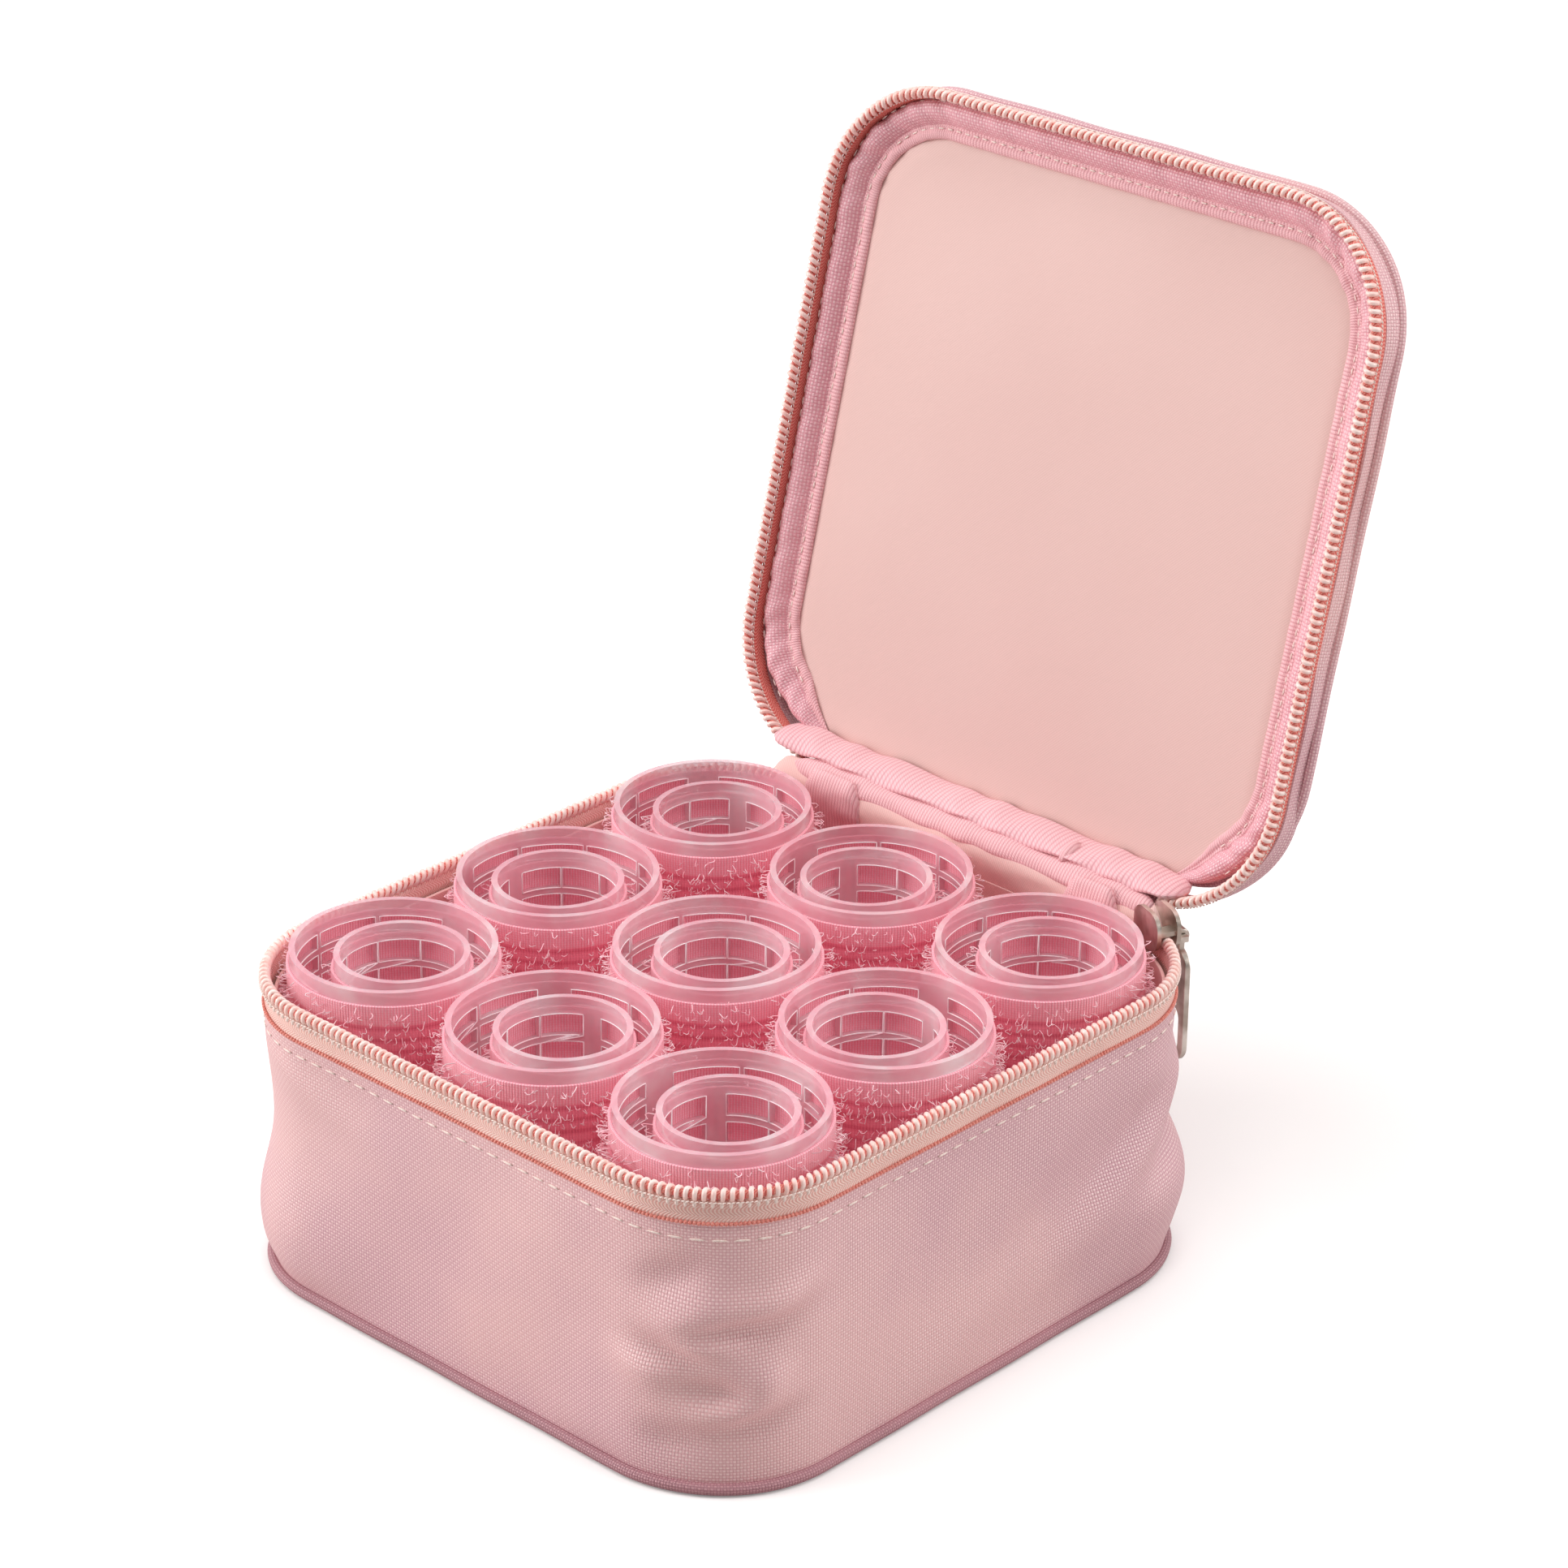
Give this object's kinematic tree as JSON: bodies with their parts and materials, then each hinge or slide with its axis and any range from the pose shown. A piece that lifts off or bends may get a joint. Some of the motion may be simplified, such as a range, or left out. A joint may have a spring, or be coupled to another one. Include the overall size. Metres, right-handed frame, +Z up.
{
  "type": "hair roller set in zip case",
  "caption": "Self-grip hair rollers standing in a soft zip-round case, small ones inside large ones, with an opened padded lid, a zip slider and a long flat pull.",
  "frame": {"origin": "middle of the case's base, on the surface it stands on", "axes": "+Z up, +X along the lid's hinge, +Y from the front of the case to the hinge; the lid is open as it stays by itself"},
  "size_m": [0.1412, 0.188, 0.2002],
  "materials": {
    "pink_oxford_cloth": "satin oxford weave",
    "piping_cloth": "folded seam",
    "peach_lining_cloth": "plain weave",
    "foam": "closed-cell foam sheet",
    "stiffener_board": "plastic sheet",
    "zip_tape": "twill tape",
    "zip_coil_nylon": "nylon coil",
    "grosgrain_binding": "ribbed tape",
    "zip_metal": "satin nickel",
    "roller_plastic": "translucent satin",
    "hook_tape": "hook tape"
  },
  "bodies": {
    "case": {"base_panel": "pink_oxford_cloth", "base_piping": "piping_cloth", "base_board": "stiffener_board", "base_lining": "peach_lining_cloth", "tub_wall": "pink_oxford_cloth", "wall_foam": "foam", "tub_lining": "peach_lining_cloth", "tub_zip_tape": "zip_tape", "tub_zip_coil": "zip_coil_nylon", "hinge_strip": "pink_oxford_cloth", "hinge_binding": "grosgrain_binding", "left_zip_tab": "grosgrain_binding", "right_zip_tab": "grosgrain_binding"},
    "lid": {"lid_panel": "pink_oxford_cloth", "lid_piping": "piping_cloth", "lid_board": "stiffener_board", "lid_lining": "peach_lining_cloth", "lid_side_band": "pink_oxford_cloth", "lid_binding": "grosgrain_binding", "lid_zip_tape": "zip_tape", "lid_zip_coil": "zip_coil_nylon"},
    "slider": {"zip_slider": "zip_metal"},
    "pull": {"zip_pull": "zip_metal"},
    "large_roller_1": {"large_core_1": "roller_plastic", "large_grip_1": "hook_tape"},
    "small_roller_1": {"small_core_1": "roller_plastic", "small_grip_1": "hook_tape"},
    "large_roller_2": {"large_core_2": "roller_plastic", "large_grip_2": "hook_tape"},
    "small_roller_2": {"small_core_2": "roller_plastic", "small_grip_2": "hook_tape"},
    "large_roller_3": {"large_core_3": "roller_plastic", "large_grip_3": "hook_tape"},
    "small_roller_3": {"small_core_3": "roller_plastic", "small_grip_3": "hook_tape"},
    "large_roller_4": {"large_core_4": "roller_plastic", "large_grip_4": "hook_tape"},
    "small_roller_4": {"small_core_4": "roller_plastic", "small_grip_4": "hook_tape"},
    "large_roller_5": {"large_core_5": "roller_plastic", "large_grip_5": "hook_tape"},
    "small_roller_5": {"small_core_5": "roller_plastic", "small_grip_5": "hook_tape"},
    "large_roller_6": {"large_core_6": "roller_plastic", "large_grip_6": "hook_tape"},
    "small_roller_6": {"small_core_6": "roller_plastic", "small_grip_6": "hook_tape"},
    "large_roller_7": {"large_core_7": "roller_plastic", "large_grip_7": "hook_tape"},
    "small_roller_7": {"small_core_7": "roller_plastic", "small_grip_7": "hook_tape"},
    "large_roller_8": {"large_core_8": "roller_plastic", "large_grip_8": "hook_tape"},
    "small_roller_8": {"small_core_8": "roller_plastic", "small_grip_8": "hook_tape"},
    "large_roller_9": {"large_core_9": "roller_plastic", "large_grip_9": "hook_tape"},
    "small_roller_9": {"small_core_9": "roller_plastic", "small_grip_9": "hook_tape"}
  },
  "joints": [
    {"name": "lid_hinge", "type": "hinge", "parent": "case", "child": "lid", "pos_m": [0, 0.071, 0.0638], "axis": [-1, 0, 0], "range_deg": [-104.5, 75.5], "deforming": ["hinge_strip"]},
    {"name": "slider_travel", "type": "hinge", "parent": "case", "child": "slider", "pos_m": [0.0422, 0.0434, 0.0637], "axis": [0, 0, -1], "range_deg": [0, 68]},
    {"name": "pull_swing", "type": "hinge", "parent": "slider", "child": "pull", "pos_m": [0.05344, 0.07122, 0.0612], "axis": [0.9272, -0.3746, 0], "range_deg": [0, 80]},
    {"name": "large_roller_1_lift", "type": "slide", "parent": "case", "child": "large_roller_1", "axis": [0, 0, 1], "range_m": [0, 0.068]},
    {"name": "small_roller_1_lift", "type": "slide", "parent": "large_roller_1", "child": "small_roller_1", "axis": [0, 0, 1], "range_m": [0, 0.068]},
    {"name": "large_roller_2_lift", "type": "slide", "parent": "case", "child": "large_roller_2", "axis": [0, 0, 1], "range_m": [0, 0.068]},
    {"name": "small_roller_2_lift", "type": "slide", "parent": "large_roller_2", "child": "small_roller_2", "axis": [0, 0, 1], "range_m": [0, 0.068]},
    {"name": "large_roller_3_lift", "type": "slide", "parent": "case", "child": "large_roller_3", "axis": [0, 0, 1], "range_m": [0, 0.068]},
    {"name": "small_roller_3_lift", "type": "slide", "parent": "large_roller_3", "child": "small_roller_3", "axis": [0, 0, 1], "range_m": [0, 0.068]},
    {"name": "large_roller_4_lift", "type": "slide", "parent": "case", "child": "large_roller_4", "axis": [0, 0, 1], "range_m": [0, 0.068]},
    {"name": "small_roller_4_lift", "type": "slide", "parent": "large_roller_4", "child": "small_roller_4", "axis": [0, 0, 1], "range_m": [0, 0.068]},
    {"name": "large_roller_5_lift", "type": "slide", "parent": "case", "child": "large_roller_5", "axis": [0, 0, 1], "range_m": [0, 0.068]},
    {"name": "small_roller_5_lift", "type": "slide", "parent": "large_roller_5", "child": "small_roller_5", "axis": [0, 0, 1], "range_m": [0, 0.068]},
    {"name": "large_roller_6_lift", "type": "slide", "parent": "case", "child": "large_roller_6", "axis": [0, 0, 1], "range_m": [0, 0.068]},
    {"name": "small_roller_6_lift", "type": "slide", "parent": "large_roller_6", "child": "small_roller_6", "axis": [0, 0, 1], "range_m": [0, 0.068]},
    {"name": "large_roller_7_lift", "type": "slide", "parent": "case", "child": "large_roller_7", "axis": [0, 0, 1], "range_m": [0, 0.068]},
    {"name": "small_roller_7_lift", "type": "slide", "parent": "large_roller_7", "child": "small_roller_7", "axis": [0, 0, 1], "range_m": [0, 0.068]},
    {"name": "large_roller_8_lift", "type": "slide", "parent": "case", "child": "large_roller_8", "axis": [0, 0, 1], "range_m": [0, 0.068]},
    {"name": "small_roller_8_lift", "type": "slide", "parent": "large_roller_8", "child": "small_roller_8", "axis": [0, 0, 1], "range_m": [0, 0.068]},
    {"name": "large_roller_9_lift", "type": "slide", "parent": "case", "child": "large_roller_9", "axis": [0, 0, 1], "range_m": [0, 0.068]},
    {"name": "small_roller_9_lift", "type": "slide", "parent": "large_roller_9", "child": "small_roller_9", "axis": [0, 0, 1], "range_m": [0, 0.068]}
  ]
}
